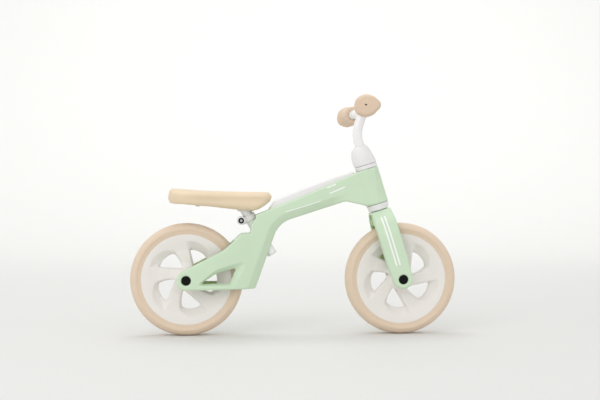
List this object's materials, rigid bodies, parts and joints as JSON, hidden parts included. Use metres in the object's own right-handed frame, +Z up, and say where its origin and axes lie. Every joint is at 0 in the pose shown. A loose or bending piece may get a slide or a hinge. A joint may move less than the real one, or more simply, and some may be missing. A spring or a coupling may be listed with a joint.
{
  "type": "balance bike",
  "caption": "Toddler's balance bike: moulded beam frame, foam-tyred spoked wheels, fork with swept handlebar and grips, and a height-adjustable saddle.",
  "frame": {"origin": "on the floor, midway between the two axles and on the bike's mid-plane", "axes": "+X forward, +Y to the rider's left, +Z up"},
  "size_m": [0.73, 0.367, 0.5225],
  "materials": {
    "green_frame": "satin pale green moulding",
    "green_fork": "satin pale green moulding with two thin white stripes",
    "white_trim": "satin off-white moulding",
    "white_bar": "glossy white paint",
    "rim_plastic": "satin off-white moulding",
    "foam_tyre": "matt beige foam",
    "beige_grip": "matt beige soft rubber",
    "beige_saddle": "matt beige self-skinning foam",
    "grey_plastic": "satin light grey moulding",
    "zinc_steel": "zinc plated",
    "black_bolt": "black oxide"
  },
  "bodies": {
    "frame": {"frame_shell_right": "green_frame", "frame_shell_left": "green_frame", "top_cover": "white_trim", "frame_screw_1": "zinc_steel", "frame_screw_2": "zinc_steel", "frame_screw_3": "zinc_steel", "frame_screw_4": "zinc_steel", "frame_screw_5": "zinc_steel", "head_tube": "zinc_steel", "lower_head_ring": "white_trim", "upper_head_ring": "white_trim", "seat_sleeve": "grey_plastic", "seat_clamp": "grey_plastic", "seat_clamp_bolt": "black_bolt", "seat_clamp_nut": "zinc_steel", "rear_axle": "zinc_steel", "rear_spacer_right": "grey_plastic", "rear_spacer_left": "grey_plastic", "rear_washer_right": "black_bolt", "rear_washer_left": "black_bolt", "rear_bolt_right": "black_bolt", "rear_bolt_left": "black_bolt"},
    "steering": {"fork": "green_fork", "steerer_tube": "zinc_steel", "stem": "white_trim", "stem_bolt": "zinc_steel", "handlebar": "white_bar", "grip_right": "beige_grip", "grip_left": "beige_grip", "front_axle": "zinc_steel", "front_spacer_right": "grey_plastic", "front_spacer_left": "grey_plastic", "front_washer_right": "black_bolt", "front_washer_left": "black_bolt", "front_bolt_right": "black_bolt", "front_bolt_left": "black_bolt"},
    "front_wheel": {"front_tyre": "foam_tyre", "front_rim": "rim_plastic", "front_bearing_right": "zinc_steel", "front_bearing_left": "zinc_steel"},
    "rear_wheel": {"rear_tyre": "foam_tyre", "rear_rim": "rim_plastic", "rear_bearing_right": "zinc_steel", "rear_bearing_left": "zinc_steel"},
    "seat": {"seat_post": "white_bar", "post_plug": "grey_plastic", "saddle_pad": "beige_saddle", "saddle_base": "grey_plastic", "saddle_screw_front": "zinc_steel", "saddle_screw_rear": "zinc_steel"}
  },
  "joints": [
    {"name": "steering", "type": "hinge", "parent": "frame", "child": "steering", "pos_m": [0.24, 0, 0.125], "axis": [-0.2924, 0, 0.9563], "range_deg": [-90, 90]},
    {"name": "front_wheel_spin", "type": "hinge", "parent": "steering", "child": "front_wheel", "pos_m": [0.24, 0, 0.125], "axis": [0, 1, 0], "continuous": true},
    {"name": "rear_wheel_spin", "type": "hinge", "parent": "frame", "child": "rear_wheel", "pos_m": [-0.24, 0, 0.125], "axis": [0, 1, 0], "continuous": true},
    {"name": "seat_height", "type": "slide", "parent": "frame", "child": "seat", "axis": [-0.5299, 0, 0.848], "range_m": [0, 0.05]}
  ]
}
